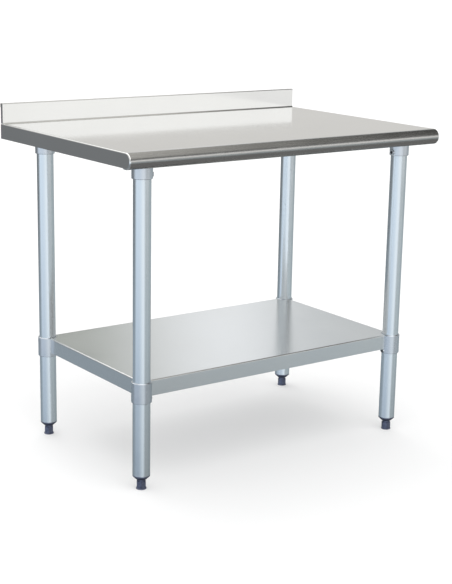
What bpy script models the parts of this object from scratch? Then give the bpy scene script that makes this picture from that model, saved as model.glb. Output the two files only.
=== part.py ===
"""Stainless work table: formed worktop on four socketed legs, with a height-adjustable undershelf.

Metres, +Z up, +X to the right and -Y to the front. The origin is on the floor under the middle of the
table, with the levelling feet screwed fully in.
"""
import math

import bmesh
import bpy
from mathutils import Matrix, Vector

# Overall sizes
TABLE_WIDTH = 0.914
TABLE_DEPTH = 0.610
WORKTOP_HEIGHT = 0.800
SHELF_HEIGHT = 0.262

# Worktop sheet
SHEET_THICKNESS = 0.0012
APRON_DEPTH = 0.038
NOSE_LIP = 0.010
NOSE_STEPS = 16
BACKSPLASH_HEIGHT = 0.050
BACKSPLASH_RETURN = 0.012
BACKSPLASH_HEM = 0.010

# Stiffening channels under the sheets
CHANNEL_HEIGHT = 0.020
CHANNEL_CROWN = 0.056
CHANNEL_FLANGE = 0.016
CHANNEL_SHEET = 0.0015
CHANNEL_REAR_SETBACK = 0.030
CHANNEL_END_GAP = 0.003

# Legs
LEG_DIAMETER = 0.0413
LEG_WALL = 0.0015
LEG_SIDE_INSET = 0.0730
LEG_REAR_INSET = 0.0930

# Leg sockets under the worktop
SOCKET_WALL = 0.0032
SOCKET_FLANGE_WIDTH = 0.0108
SOCKET_FLANGE_THICKNESS = 0.003
SOCKET_LENGTH = 0.043
SOCKET_NOSE_GAP = 0.0135

# Undershelf and its corner sleeves
SHELF_APRON = 0.038
SHELF_OVERHANG = 0.004
SLEEVE_WALL = 0.0030

# Set screws and the bosses they run in
SOCKET_BOSS_RADIUS = 0.0072
SLEEVE_BOSS_RADIUS = 0.0046
BOSS_PROJECTION = 0.0025
BOSS_EDGE = 0.0010
SCREW_RADIUS = 0.0030
SCREW_PROJECTION = 0.0015
SCREW_KEY_RADIUS = 0.0016
SCREW_KEY_DEPTH = 0.0030

# Leg inserts and levelling feet
INSERT_DEPTH = 0.036
INSERT_RIM = 0.003
INSERT_TAPER = 0.007
INSERT_MOUTH_RADIUS = 0.0125
FOOT_HEIGHT = 0.024
FOOT_HEX_RADIUS = 0.0120
FOOT_BASE_RADIUS = 0.0125
FOOT_BASE_TOP_RADIUS = 0.0110
FOOT_BASE_HEIGHT = 0.004
FOOT_COLLAR_RADIUS = 0.0090
FOOT_COLLAR_HEIGHT = 0.004
STEM_RADIUS = 0.0060
STEM_LENGTH = 0.046

# Fits
FIT = 0.0003
RUNNING_FIT = 0.00035
STOP_GAP = 0.0005

# Meshing
ROUND_STEPS = 40
SCREW_STEPS = 20
HEX_SIDES = 6
SHARP_ANGLE = math.radians(30)
MERGE_DISTANCE = 0.00005
BOOLEAN_LAP = 0.0005
CUTTER_REACH = 0.020

# Places that follow from the sizes
LEG_RADIUS = LEG_DIAMETER / 2
LEG_BORE = LEG_RADIUS - LEG_WALL
NOSE_REAR = -TABLE_DEPTH / 2 + APRON_DEPTH / 2 + NOSE_LIP
SOCKET_BORE = LEG_RADIUS + FIT
SOCKET_RADIUS = SOCKET_BORE + SOCKET_WALL
LEG_X = TABLE_WIDTH / 2 - LEG_SIDE_INSET
LEG_FRONT_Y = NOSE_REAR + SOCKET_NOSE_GAP + SOCKET_RADIUS
LEG_REAR_Y = TABLE_DEPTH / 2 - LEG_REAR_INSET
LEG_MID_Y = (LEG_FRONT_Y + LEG_REAR_Y) / 2
CHANNEL_TOP = WORKTOP_HEIGHT - SHEET_THICKNESS - FIT
SOCKET_TOP = CHANNEL_TOP - CHANNEL_HEIGHT - FIT
SLEEVE_BORE = LEG_RADIUS + RUNNING_FIT
SLEEVE_RADIUS = SLEEVE_BORE + SLEEVE_WALL
SLEEVE_LENGTH = SHELF_APRON + 2 * (SLEEVE_BOSS_RADIUS + BOSS_EDGE)
INSERT_BOTTOM = FOOT_HEIGHT + STOP_GAP
LEG_BOTTOM = INSERT_BOTTOM + INSERT_TAPER + INSERT_RIM + FIT
LEG_TOP = SOCKET_TOP - SOCKET_FLANGE_THICKNESS - FIT
CORNERS = {
    "front_left": (-LEG_X, LEG_FRONT_Y),
    "front_right": (LEG_X, LEG_FRONT_Y),
    "rear_left": (-LEG_X, LEG_REAR_Y),
    "rear_right": (LEG_X, LEG_REAR_Y),
}


def clear_scene():
    for old in list(bpy.data.objects):
        bpy.data.objects.remove(old, do_unlink=True)


def collection(name):
    made = bpy.data.collections.new(name)
    bpy.context.scene.collection.children.link(made)
    return made


def finish_material(name, colour, roughness, metallic):
    made = bpy.data.materials.new(name)
    made.use_nodes = True
    shader = made.node_tree.nodes["Principled BSDF"]
    shader.inputs["Base Color"].default_value = (*colour, 1.0)
    shader.inputs["Roughness"].default_value = roughness
    shader.inputs["Metallic"].default_value = metallic
    return made


def add_piece(name, bm, finish, place=(0.0, 0.0, 0.0)):
    """Link a bmesh to the table as the named piece, in its own copy of the finish."""
    mesh = bpy.data.meshes.new(name)
    bm.to_mesh(mesh)
    bm.free()
    piece = bpy.data.objects.new(name, mesh)
    piece.location = place
    colour, roughness, metallic = finish
    mesh.materials.append(finish_material(name, colour, roughness, metallic))
    TABLE.objects.link(piece)
    return piece


def add_cutter(name, bm, place=(0.0, 0.0, 0.0)):
    mesh = bpy.data.meshes.new(name)
    bm.to_mesh(mesh)
    bm.free()
    cutter = bpy.data.objects.new(name, mesh)
    cutter.location = place
    cutter.hide_render = True
    cutter.display_type = "WIRE"
    CUTTERS.objects.link(cutter)
    return cutter


def combine(piece, cutter, operation):
    step = piece.modifiers.new(operation.lower(), "BOOLEAN")
    step.operation = operation
    step.solver = "EXACT"
    step.object = cutter


def rod(radius, start, end, steps=ROUND_STEPS, radius_end=None):
    """A closed cylinder or cone between two points."""
    start, end = Vector(start), Vector(end)
    bm = bmesh.new()
    turn = (end - start).to_track_quat("Z", "Y").to_matrix().to_4x4()
    bmesh.ops.create_cone(
        bm,
        cap_ends=True,
        segments=steps,
        radius1=radius,
        radius2=radius if radius_end is None else radius_end,
        depth=(end - start).length,
        matrix=Matrix.Translation((start + end) / 2) @ turn,
    )
    return bm


def smooth_rounds(piece):
    for face in piece.data.polygons:
        face.use_smooth = True
    piece.data.set_sharp_from_angle(angle=SHARP_ANGLE)


def turned(name, profile, finish, place, closed=False):
    """A profile of (radius, height) points, outer side from top to bottom, turned about Z."""
    bm = bmesh.new()
    verts = [bm.verts.new((radius, 0.0, height)) for radius, height in profile]
    for first, second in zip(verts, verts[1:]):
        bm.edges.new((first, second))
    if closed:
        bm.edges.new((verts[-1], verts[0]))
    piece = add_piece(name, bm, finish, place)
    spin = piece.modifiers.new("turn", "SCREW")
    spin.steps = ROUND_STEPS
    spin.render_steps = ROUND_STEPS
    spin.use_merge_vertices = True
    spin.merge_threshold = MERGE_DISTANCE
    spin.use_smooth_shade = True
    return piece


def thicken(piece, thickness):
    wall = piece.modifiers.new("sheet", "SOLIDIFY")
    wall.thickness = thickness
    wall.offset = -1.0
    wall.use_even_offset = True


def nose_arc():
    """The rolled front edge, from its top tangent round the front to its bottom tangent."""
    radius = APRON_DEPTH / 2
    centre_y = -TABLE_DEPTH / 2 + radius
    centre_z = WORKTOP_HEIGHT - radius
    points = []
    for step in range(NOSE_STEPS + 1):
        turn = math.pi / 2 + math.pi * step / NOSE_STEPS
        points.append((centre_y + radius * math.cos(turn), centre_z + radius * math.sin(turn)))
    return points


def worktop_sheet():
    """One formed sheet: backsplash, flat top, rolled nose and two turned-down sides."""
    rear = TABLE_DEPTH / 2
    splash_y = rear - BACKSPLASH_RETURN
    splash_top = WORKTOP_HEIGHT + BACKSPLASH_HEIGHT
    apron_bottom = WORKTOP_HEIGHT - APRON_DEPTH
    nose = nose_arc()
    lip_end = (nose[-1][0] + NOSE_LIP, apron_bottom)
    behind = [(rear, splash_top - BACKSPLASH_HEM), (rear, splash_top), (splash_y, splash_top)]
    side = [(splash_y, WORKTOP_HEIGHT)] + nose + [lip_end]
    bm = bmesh.new()
    rows = []
    for x in (-TABLE_WIDTH / 2, TABLE_WIDTH / 2):
        rows.append([bm.verts.new((x, y, z)) for y, z in behind + side])
    for column in range(len(rows[0]) - 1):
        bm.faces.new((rows[0][column], rows[0][column + 1], rows[1][column + 1], rows[1][column]))
    for row in rows:
        corner_bottom = bm.verts.new((row[0].co.x, rear, apron_bottom))
        corner_top = bm.verts.new((row[0].co.x, rear, WORKTOP_HEIGHT))
        bm.faces.new(row[len(behind):] + [corner_bottom, corner_top])
    bmesh.ops.recalc_face_normals(bm, faces=bm.faces)
    top = max(bm.faces, key=lambda face: face.calc_area())
    if top.normal.z < 0:
        bmesh.ops.reverse_faces(bm, faces=bm.faces)
    piece = add_piece("worktop_sheet", bm, STAINLESS)
    thicken(piece, SHEET_THICKNESS)
    smooth_rounds(piece)


def backsplash_end(side_name, side):
    """The small plate welded into the open end of the backsplash's rear return."""
    gap = SHEET_THICKNESS + FIT
    rear = TABLE_DEPTH / 2
    low = Vector((0.0, rear - BACKSPLASH_RETURN + gap, WORKTOP_HEIGHT + FIT))
    high = Vector((SHEET_THICKNESS, rear - gap, WORKTOP_HEIGHT + BACKSPLASH_HEIGHT - gap))
    bm = bmesh.new()
    bmesh.ops.create_cube(bm, size=1.0)
    bmesh.ops.scale(bm, vec=high - low, verts=bm.verts)
    bmesh.ops.translate(bm, vec=(low + high) / 2, verts=bm.verts)
    edge = TABLE_WIDTH / 2
    place = (edge - SHEET_THICKNESS, 0.0, 0.0) if side > 0 else (-edge, 0.0, 0.0)
    add_piece(f"backsplash_end_{side_name}", bm, STAINLESS, place)


def hat_channel(name, along, length, place):
    """A hat-section stiffener: two flanges against the sheet above and a crown hanging below."""
    half = CHANNEL_CROWN / 2
    brim = half + CHANNEL_FLANGE
    crown = -(CHANNEL_HEIGHT - CHANNEL_SHEET)
    section = [(-brim, 0.0), (-half, 0.0), (-half, crown), (half, crown), (half, 0.0), (brim, 0.0)]
    bm = bmesh.new()
    rows = []
    for end in (-length / 2, length / 2):
        rows.append([bm.verts.new((end, across, z)) for across, z in section])
    for column in range(len(section) - 1):
        bm.faces.new((rows[0][column], rows[1][column], rows[1][column + 1], rows[0][column + 1]))
    if along == "Y":
        bmesh.ops.rotate(bm, matrix=Matrix.Rotation(math.pi / 2, 3, "Z"), verts=bm.verts)
    bmesh.ops.recalc_face_normals(bm, faces=bm.faces)
    crown_face = min(bm.faces, key=lambda face: face.calc_center_median().z)
    if crown_face.normal.z < 0:
        bmesh.ops.reverse_faces(bm, faces=bm.faces)
    piece = add_piece(name, bm, GALVANISED, place)
    thicken(piece, CHANNEL_SHEET)


def boss_and_hole(piece, inward, boss_radius, wall_radius, bore_radius, height, place):
    """Weld a screw boss to a socket or sleeve on its inboard side and drill it through."""
    root = (bore_radius + wall_radius) / 2 + BOOLEAN_LAP
    tip = wall_radius + BOSS_PROJECTION
    name = piece.name
    boss = rod(boss_radius, (inward * root, 0, height), (inward * tip, 0, height), SCREW_STEPS)
    combine(piece, add_cutter(f"{name}_boss", boss, place), "UNION")
    reach = tip + BOSS_PROJECTION
    hole = rod(SCREW_RADIUS + FIT, (inward * LEG_BORE, 0, height), (inward * reach, 0, height), SCREW_STEPS)
    combine(piece, add_cutter(f"{name}_hole", hole, place), "DIFFERENCE")


def leg_socket(corner, x, y):
    """A flanged cup under the worktop that the leg stands in."""
    flange_under = -SOCKET_FLANGE_THICKNESS
    bottom = flange_under - SOCKET_LENGTH
    flange_radius = SOCKET_RADIUS + SOCKET_FLANGE_WIDTH
    profile = [
        (0.0, 0.0),
        (flange_radius, 0.0),
        (flange_radius, flange_under),
        (SOCKET_RADIUS, flange_under),
        (SOCKET_RADIUS, bottom),
        (SOCKET_BORE, bottom),
        (SOCKET_BORE, flange_under),
        (0.0, flange_under),
    ]
    place = (x, y, SOCKET_TOP)
    piece = turned(f"leg_socket_{corner}", profile, GALVANISED, place)
    inward = -math.copysign(1.0, x)
    height = bottom + BOSS_EDGE + SOCKET_BOSS_RADIUS
    boss_and_hole(piece, inward, SOCKET_BOSS_RADIUS, SOCKET_RADIUS, SOCKET_BORE, height, place)
    set_screw(f"socket_screw_{corner}", inward, SOCKET_RADIUS, (x, y, SOCKET_TOP + height))


def set_screw(name, inward, wall_radius, place):
    """A set screw with a hexagon key hole, its tip just off the leg."""
    tip = LEG_RADIUS + FIT
    head = wall_radius + BOSS_PROJECTION + SCREW_PROJECTION
    piece = add_piece(
        name, rod(SCREW_RADIUS, (inward * tip, 0, 0), (inward * head, 0, 0), SCREW_STEPS), SCREW_STEEL, place
    )
    smooth_rounds(piece)
    key = rod(
        SCREW_KEY_RADIUS,
        (inward * (head - SCREW_KEY_DEPTH), 0, 0),
        (inward * (head + SCREW_KEY_DEPTH), 0, 0),
        HEX_SIDES,
    )
    combine(piece, add_cutter(f"{name}_key", key, place), "DIFFERENCE")


def leg(corner, x, y):
    """A galvanised tube, open at both ends."""
    profile = [(LEG_RADIUS, LEG_TOP), (LEG_RADIUS, LEG_BOTTOM), (LEG_BORE, LEG_BOTTOM), (LEG_BORE, LEG_TOP)]
    turned(f"leg_{corner}", profile, GALVANISED, (x, y, 0.0), closed=True)


def leg_insert(corner, x, y):
    """The plug pressed into the tube's lower end, bored for the foot's stem."""
    bore = STEM_RADIUS + FIT
    plug = LEG_BORE - FIT
    rim_top = LEG_BOTTOM - FIT
    rim_bottom = rim_top - INSERT_RIM
    profile = [
        (plug, LEG_BOTTOM + INSERT_DEPTH),
        (plug, rim_top),
        (LEG_RADIUS, rim_top),
        (LEG_RADIUS, rim_bottom),
        (INSERT_MOUTH_RADIUS, INSERT_BOTTOM),
        (bore, INSERT_BOTTOM),
        (bore, LEG_BOTTOM + INSERT_DEPTH),
    ]
    turned(f"leg_insert_{corner}", profile, FOOT_METAL, (x, y, 0.0), closed=True)


def levelling_foot(corner, x, y):
    """A hexagonal foot on a threaded stem; it travels out of the leg along Z."""
    hex_top = FOOT_HEIGHT - FOOT_COLLAR_HEIGHT
    bm = rod(FOOT_BASE_RADIUS, (0, 0, 0), (0, 0, FOOT_BASE_HEIGHT), ROUND_STEPS, FOOT_BASE_TOP_RADIUS)
    piece = add_piece(f"levelling_foot_{corner}", bm, FOOT_METAL, (x, y, 0.0))
    place = (x, y, 0.0)
    hexagon = rod(FOOT_HEX_RADIUS, (0, 0, FOOT_BASE_HEIGHT - BOOLEAN_LAP), (0, 0, hex_top), HEX_SIDES)
    combine(piece, add_cutter(f"foot_hexagon_{corner}", hexagon, place), "UNION")
    collar = rod(FOOT_COLLAR_RADIUS, (0, 0, hex_top - BOOLEAN_LAP), (0, 0, FOOT_HEIGHT), ROUND_STEPS)
    combine(piece, add_cutter(f"foot_collar_{corner}", collar, place), "UNION")
    stem = rod(STEM_RADIUS, (0, 0, FOOT_HEIGHT - BOOLEAN_LAP), (0, 0, FOOT_HEIGHT + STEM_LENGTH), ROUND_STEPS)
    combine(piece, add_cutter(f"foot_stem_{corner}", stem, place), "UNION")


def undershelf_sheet():
    """A flat pan with four turned-down sides, its corners cut round to meet the sleeves."""
    reach_x = LEG_X + SHELF_OVERHANG
    low = Vector((-reach_x, LEG_FRONT_Y - SHELF_OVERHANG, SHELF_HEIGHT - SHELF_APRON))
    high = Vector((reach_x, LEG_REAR_Y + SHELF_OVERHANG, SHELF_HEIGHT))
    bm = bmesh.new()
    bmesh.ops.create_cube(bm, size=1.0)
    bmesh.ops.scale(bm, vec=high - low, verts=bm.verts)
    bmesh.ops.translate(bm, vec=(low + high) / 2, verts=bm.verts)
    floor_face = [face for face in bm.faces if face.normal.z < -0.5]
    bmesh.ops.delete(bm, geom=floor_face, context="FACES_ONLY")
    piece = add_piece("undershelf_sheet", bm, STAINLESS)
    thicken(piece, SHEET_THICKNESS)
    for corner, (x, y) in CORNERS.items():
        notch = rod(SLEEVE_RADIUS + FIT, (0, 0, -SHELF_APRON - CUTTER_REACH), (0, 0, CUTTER_REACH))
        combine(piece, add_cutter(f"shelf_notch_{corner}", notch, (x, y, SHELF_HEIGHT)), "DIFFERENCE")


def shelf_sleeve(corner, x, y):
    """The welded sleeve that slides on the leg and carries a corner of the undershelf."""
    profile = [
        (SLEEVE_RADIUS, 0.0),
        (SLEEVE_RADIUS, -SLEEVE_LENGTH),
        (SLEEVE_BORE, -SLEEVE_LENGTH),
        (SLEEVE_BORE, 0.0),
    ]
    place = (x, y, SHELF_HEIGHT)
    piece = turned(f"shelf_sleeve_{corner}", profile, GALVANISED, place, closed=True)
    inward = -math.copysign(1.0, x)
    height = -SLEEVE_LENGTH + BOSS_EDGE + SLEEVE_BOSS_RADIUS
    boss_and_hole(piece, inward, SLEEVE_BOSS_RADIUS, SLEEVE_RADIUS, SLEEVE_BORE, height, place)
    set_screw(f"sleeve_screw_{corner}", inward, SLEEVE_RADIUS, (x, y, SHELF_HEIGHT + height))


STAINLESS = ((0.62, 0.62, 0.60), 0.30, 1.0)
GALVANISED = ((0.58, 0.62, 0.64), 0.38, 1.0)
FOOT_METAL = ((0.30, 0.32, 0.38), 0.45, 1.0)
SCREW_STEEL = ((0.35, 0.35, 0.36), 0.40, 1.0)

clear_scene()
TABLE = collection("stainless_work_table")
CUTTERS = collection("cutters")

worktop_sheet()
for end_name, end_side in (("left", -1), ("right", 1)):
    backsplash_end(end_name, end_side)

SIDE_CHANNEL_FRONT = NOSE_REAR + CHANNEL_END_GAP
SIDE_CHANNEL_REAR = TABLE_DEPTH / 2 - CHANNEL_REAR_SETBACK
SIDE_CHANNEL_LENGTH = SIDE_CHANNEL_REAR - SIDE_CHANNEL_FRONT
SIDE_CHANNEL_Y = (SIDE_CHANNEL_REAR + SIDE_CHANNEL_FRONT) / 2
hat_channel("side_channel_left", "Y", SIDE_CHANNEL_LENGTH, (-LEG_X, SIDE_CHANNEL_Y, CHANNEL_TOP))
hat_channel("side_channel_right", "Y", SIDE_CHANNEL_LENGTH, (LEG_X, SIDE_CHANNEL_Y, CHANNEL_TOP))
CHANNEL_BRIM = CHANNEL_CROWN / 2 + CHANNEL_FLANGE
LONG_CHANNEL_LENGTH = 2 * (LEG_X - CHANNEL_BRIM - CHANNEL_END_GAP)
hat_channel("long_channel", "X", LONG_CHANNEL_LENGTH, (0.0, LEG_MID_Y, CHANNEL_TOP))
SHELF_CHANNEL_LENGTH = 2 * (LEG_X + SHELF_OVERHANG - SHEET_THICKNESS - CHANNEL_END_GAP)
SHELF_UNDERSIDE = SHELF_HEIGHT - SHEET_THICKNESS - FIT
hat_channel("shelf_channel", "X", SHELF_CHANNEL_LENGTH, (0.0, LEG_MID_Y, SHELF_UNDERSIDE))

undershelf_sheet()
for corner_name, (corner_x, corner_y) in CORNERS.items():
    leg_socket(corner_name, corner_x, corner_y)
    leg(corner_name, corner_x, corner_y)
    shelf_sleeve(corner_name, corner_x, corner_y)
    leg_insert(corner_name, corner_x, corner_y)
    levelling_foot(corner_name, corner_x, corner_y)
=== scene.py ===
import math

import bmesh
import bpy
from mathutils import Matrix, Vector


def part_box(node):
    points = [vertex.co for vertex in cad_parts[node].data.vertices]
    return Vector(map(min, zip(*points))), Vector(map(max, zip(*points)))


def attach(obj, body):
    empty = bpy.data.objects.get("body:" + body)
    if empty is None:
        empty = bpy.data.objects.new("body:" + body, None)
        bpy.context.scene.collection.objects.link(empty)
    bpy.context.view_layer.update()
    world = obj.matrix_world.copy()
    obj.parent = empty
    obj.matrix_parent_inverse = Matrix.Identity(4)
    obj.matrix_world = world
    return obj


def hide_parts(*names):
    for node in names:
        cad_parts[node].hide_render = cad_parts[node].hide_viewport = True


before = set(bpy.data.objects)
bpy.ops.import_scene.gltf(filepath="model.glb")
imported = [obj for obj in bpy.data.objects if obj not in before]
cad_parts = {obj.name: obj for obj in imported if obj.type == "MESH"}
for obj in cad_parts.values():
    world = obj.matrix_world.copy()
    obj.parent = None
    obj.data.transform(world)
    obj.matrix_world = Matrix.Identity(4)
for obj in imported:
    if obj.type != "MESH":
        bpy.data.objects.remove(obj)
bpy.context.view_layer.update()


# --- The studio -------------------------------------------------------------------------------------
# A pale floor that glows like a light table, three broad lamps and a room whose walls and ceiling have
# tones of their own, so the sheet metal has something light and something dark to mirror.
CAMERA_PLACE = (-1.959, -2.738, 1.205)
CAMERA_YAW = math.radians(-35.9)
CAMERA_DOWN = math.radians(13.87)
CAMERA_ROLL = math.radians(1.06)
CAMERA_LENS = 107.2
FLOOR_SIZE = 300.0
BACKDROP_TONE = (1.0, 1.0, 1.0, 1.0)
FLOOR_TONE = (0.52, 0.52, 0.52, 1.0)
FLOOR_GLOW = (1.0, 1.0, 1.0, 1.0)
FLOOR_GLOW_STRENGTH = 0.42
LAMP_STRENGTH = 0.48
LAMP_SPREAD = math.radians(70)

camera_data = bpy.data.cameras.new("table_camera")
camera_data.lens = CAMERA_LENS
camera_data.sensor_width = 36.0
camera_data.sensor_fit = "HORIZONTAL"
camera = bpy.data.objects.new("table_camera", camera_data)
camera.matrix_world = (
    Matrix.Translation(CAMERA_PLACE)
    @ Matrix.Rotation(CAMERA_YAW, 4, "Z")
    @ Matrix.Rotation(math.pi / 2 - CAMERA_DOWN, 4, "X")
    @ Matrix.Rotation(CAMERA_ROLL, 4, "Z")
)
bpy.context.scene.collection.objects.link(camera)
bpy.context.scene.camera = camera
bpy.context.scene.view_settings.view_transform = "Standard"


def new_tree(owner):
    """An owner's node tree, emptied."""
    owner.use_nodes = True
    owner.node_tree.nodes.clear()
    return owner.node_tree


def put(tree, kind, inputs=None, **settings):
    """Add a node with its settings. Each input is a value to set or another node's socket to link."""
    made = tree.nodes.new(kind)
    for key, value in settings.items():
        setattr(made, key, value)
    for key, value in (inputs or {}).items():
        if isinstance(value, bpy.types.NodeSocket):
            tree.links.new(value, made.inputs[key])
        else:
            made.inputs[key].default_value = value
    return made


def tone_ramp(tree, stops, value):
    """A value's colour on a ramp of (place, colour) stops."""
    made = put(tree, "ShaderNodeValToRGB", {0: value})
    ramp = made.color_ramp.elements
    while len(ramp) > 1:
        ramp.remove(ramp[-1])
    ramp[0].position = stops[0][0]
    ramp[0].color = (*stops[0][1], 1.0)
    for place, colour in stops[1:]:
        ramp.new(place).color = (*colour, 1.0)
    return made.outputs[0]


def ranged(tree, value, source, target=(0.0, 1.0), smooth=False):
    """Map a value from the source range to the target range."""
    ends = {"From Min": source[0], "From Max": source[1], "To Min": target[0], "To Max": target[1]}
    kind = "SMOOTHSTEP" if smooth else "LINEAR"
    return put(tree, "ShaderNodeMapRange", {"Value": value, **ends}, interpolation_type=kind).outputs[0]


def multiply(tree, first, second):
    return put(tree, "ShaderNodeMath", {0: first, 1: second}, operation="MULTIPLY").outputs[0]


def mix_tones(tree, factor, first, second):
    return put(tree, "ShaderNodeMix", {"Factor": factor, 6: first, 7: second}, data_type="RGBA").outputs[2]


# Each side of the room as (height of the direction, colour), from below the horizon to above it.
ROOM_LEFT = [
    (-0.45, (0.14, 0.16, 0.20)),
    (-0.36, (0.30, 0.36, 0.43)),
    (-0.28, (0.65, 0.75, 0.88)),
    (-0.10, (1.00, 1.11, 1.22)),
    (0.00, (0.72, 0.76, 0.80)),
    (0.45, (0.62, 0.62, 0.62)),
]
ROOM_FRONT_LEFT = [
    (-0.45, (0.30, 0.33, 0.35)),
    (-0.36, (0.70, 0.78, 0.84)),
    (-0.28, (1.02, 1.09, 1.15)),
    (-0.10, (1.16, 1.20, 1.24)),
    (-0.02, (0.80, 0.81, 0.82)),
    (0.45, (0.58, 0.58, 0.58)),
]
ROOM_FRONT_RIGHT = [
    (-0.45, (0.22, 0.22, 0.22)),
    (-0.33, (0.33, 0.36, 0.37)),
    (-0.26, (0.62, 0.70, 0.75)),
    (-0.18, (0.42, 0.46, 0.47)),
    (-0.140, (0.26, 0.27, 0.27)),
    (-0.114, (0.95, 0.95, 0.95)),
    (-0.06, (0.96, 0.96, 0.96)),
    (0.05, (1.14, 1.14, 1.14)),
    (0.16, (1.16, 1.16, 1.16)),
    (0.20, (0.26, 0.26, 0.26)),
    (0.45, (0.14, 0.14, 0.14)),
]
ROOM_BACK_LEFT = [
    (-0.45, (0.20, 0.22, 0.24)),
    (-0.27, (0.36, 0.43, 0.49)),
    (-0.19, (0.18, 0.19, 0.20)),
    (-0.08, (0.20, 0.21, 0.22)),
    (0.02, (0.45, 0.45, 0.45)),
    (0.45, (0.62, 0.62, 0.62)),
]
ROOM_BACK_RIGHT = [
    (-0.45, (0.08, 0.10, 0.10)),
    (-0.10, (0.20, 0.25, 0.25)),
    (0.00, (0.50, 0.50, 0.49)),
    (0.08, (0.70, 0.69, 0.67)),
    (0.15, (0.66, 0.65, 0.63)),
    (0.45, (0.62, 0.62, 0.62)),
]
ROOM_RIGHT = [
    (-0.45, (0.16, 0.17, 0.18)),
    (-0.24, (0.45, 0.51, 0.53)),
    (-0.10, (0.42, 0.45, 0.46)),
    (0.02, (0.50, 0.51, 0.52)),
    (0.20, (0.62, 0.62, 0.62)),
    (0.45, (0.55, 0.55, 0.55)),
]
ROOM_STRAIGHT_AHEAD = [
    (-0.10, (0.60, 0.62, 0.64)),
    (0.02, (0.50, 0.51, 0.52)),
    (0.20, (0.66, 0.66, 0.66)),
]
# Tones across the room, by the direction's x from -1 to 1: the lit panel behind the table that the
# shelf mirrors, and the ceiling, which darkens to the right.
ROOM_BACK_PANEL = [
    (0.40, (0.34, 0.36, 0.33)),
    (0.48, (0.42, 0.44, 0.41)),
    (0.53, (0.92, 0.94, 0.96)),
    (0.57, (1.10, 1.12, 1.15)),
    (0.61, (0.66, 0.69, 0.71)),
    (0.68, (0.57, 0.59, 0.60)),
]
ROOM_CEILING = [
    (-1.00, (0.60, 0.60, 0.60)),
    (-0.52, (0.70, 0.70, 0.70)),
    (-0.38, (1.85, 1.85, 1.85)),
    (0.18, (1.85, 1.85, 1.85)),
    (0.38, (0.66, 0.66, 0.64)),
    (0.47, (0.74, 0.73, 0.70)),
    (0.54, (0.70, 0.69, 0.66)),
    (0.585, (0.30, 0.295, 0.28)),
    (0.63, (0.10, 0.10, 0.10)),
    (0.68, (0.05, 0.05, 0.05)),
]


def room_light():
    """Soft room light whose sides and ceiling each have their own tone."""
    world = bpy.data.worlds.new("studio_room")
    bpy.context.scene.world = world
    tree = new_tree(world)
    direction = put(tree, "ShaderNodeTexCoord").outputs["Generated"]
    x, y, z = put(tree, "ShaderNodeSeparateXYZ", {0: direction}).outputs
    height = ranged(tree, z, (-0.5, 0.5))
    crosswise = ranged(tree, x, (-1.0, 1.0))

    def step(axis, low, high):
        return ranged(tree, axis, (low, high), smooth=True)

    def side(stops):
        return tone_ramp(tree, [(at + 0.5, colour) for at, colour in stops], height)

    def across(stops):
        return tone_ramp(tree, [((at + 1) / 2, colour) for at, colour in stops], crosswise)

    to_right = step(x, -0.14, 0.30)
    left = mix_tones(tree, step(x, -1.00, -0.22), side(ROOM_LEFT), side(ROOM_FRONT_LEFT))
    front = mix_tones(tree, to_right, left, side(ROOM_FRONT_RIGHT))
    back = mix_tones(tree, to_right, side(ROOM_BACK_LEFT), side(ROOM_BACK_RIGHT))
    walls = mix_tones(tree, step(y, 0.25, 0.70), front, back)
    walls = mix_tones(tree, step(x, 0.76, 0.92), walls, side(ROOM_RIGHT))
    to_ahead = multiply(tree, step(y, -0.93, -0.975), step(z, -0.10, -0.04))
    walls = mix_tones(tree, to_ahead, walls, side(ROOM_STRAIGHT_AHEAD))
    to_panel = multiply(tree, step(z, 0.16, 0.21), step(y, 0.45, 0.60))
    to_panel = multiply(tree, to_panel, step(x, 0.20, 0.40))
    walls = mix_tones(tree, to_panel, walls, across(ROOM_BACK_PANEL))
    tones = mix_tones(tree, step(z, 0.35, 0.60), walls, across(ROOM_CEILING))
    glow = put(tree, "ShaderNodeBackground", {"Color": tones})
    backdrop = put(tree, "ShaderNodeBackground", {"Color": BACKDROP_TONE})
    seen = put(tree, "ShaderNodeLightPath").outputs["Is Camera Ray"]
    choice = put(tree, "ShaderNodeMixShader", {0: seen, 1: glow.outputs[0], 2: backdrop.outputs[0]})
    put(tree, "ShaderNodeOutputWorld", {0: choice.outputs[0]})


room_light()


def sky_lamp(name, towards):
    """A broad lamp that lights the floor and the dull surfaces but isn't itself mirrored in the steel."""
    light = bpy.data.lights.new(name, "SUN")
    light.energy = LAMP_STRENGTH
    light.angle = LAMP_SPREAD
    lamp = bpy.data.objects.new(name, light)
    lamp.matrix_world = Vector(towards).to_track_quat("-Z", "Y").to_matrix().to_4x4()
    lamp.visible_glossy = False
    bpy.context.scene.collection.objects.link(lamp)


sky_lamp("left_sky_lamp", (1.0, 0.3, -1.0))
sky_lamp("front_sky_lamp", (-0.3, 1.0, -1.0))
sky_lamp("back_sky_lamp", (-0.6, -1.0, -1.2))


def shade(tree, looks):
    """A material's one shader with the given looks, joined to its output."""
    shader = put(tree, "ShaderNodeBsdfPrincipled", looks)
    put(tree, "ShaderNodeOutputMaterial", {0: shader.outputs[0]})


def surface_object(name, bm):
    """Link a bmesh to the scene as a named object."""
    mesh = bpy.data.meshes.new(name)
    bm.to_mesh(mesh)
    bm.free()
    made = bpy.data.objects.new(name, mesh)
    bpy.context.scene.collection.objects.link(made)
    return made


def studio_floor():
    bm = bmesh.new()
    bmesh.ops.create_grid(bm, x_segments=1, y_segments=1, size=FLOOR_SIZE / 2)
    floor = surface_object("studio_floor", bm)
    paint = bpy.data.materials.new("pale_floor")
    looks = {
        "Base Color": FLOOR_TONE,
        "Roughness": 0.9,
        "Emission Color": FLOOR_GLOW,
        "Emission Strength": FLOOR_GLOW_STRENGTH,
        "Specular IOR Level": 0.1,
    }
    shade(new_tree(paint), looks)
    floor.data.materials.append(paint)
    floor.visible_glossy = False


studio_floor()


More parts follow.
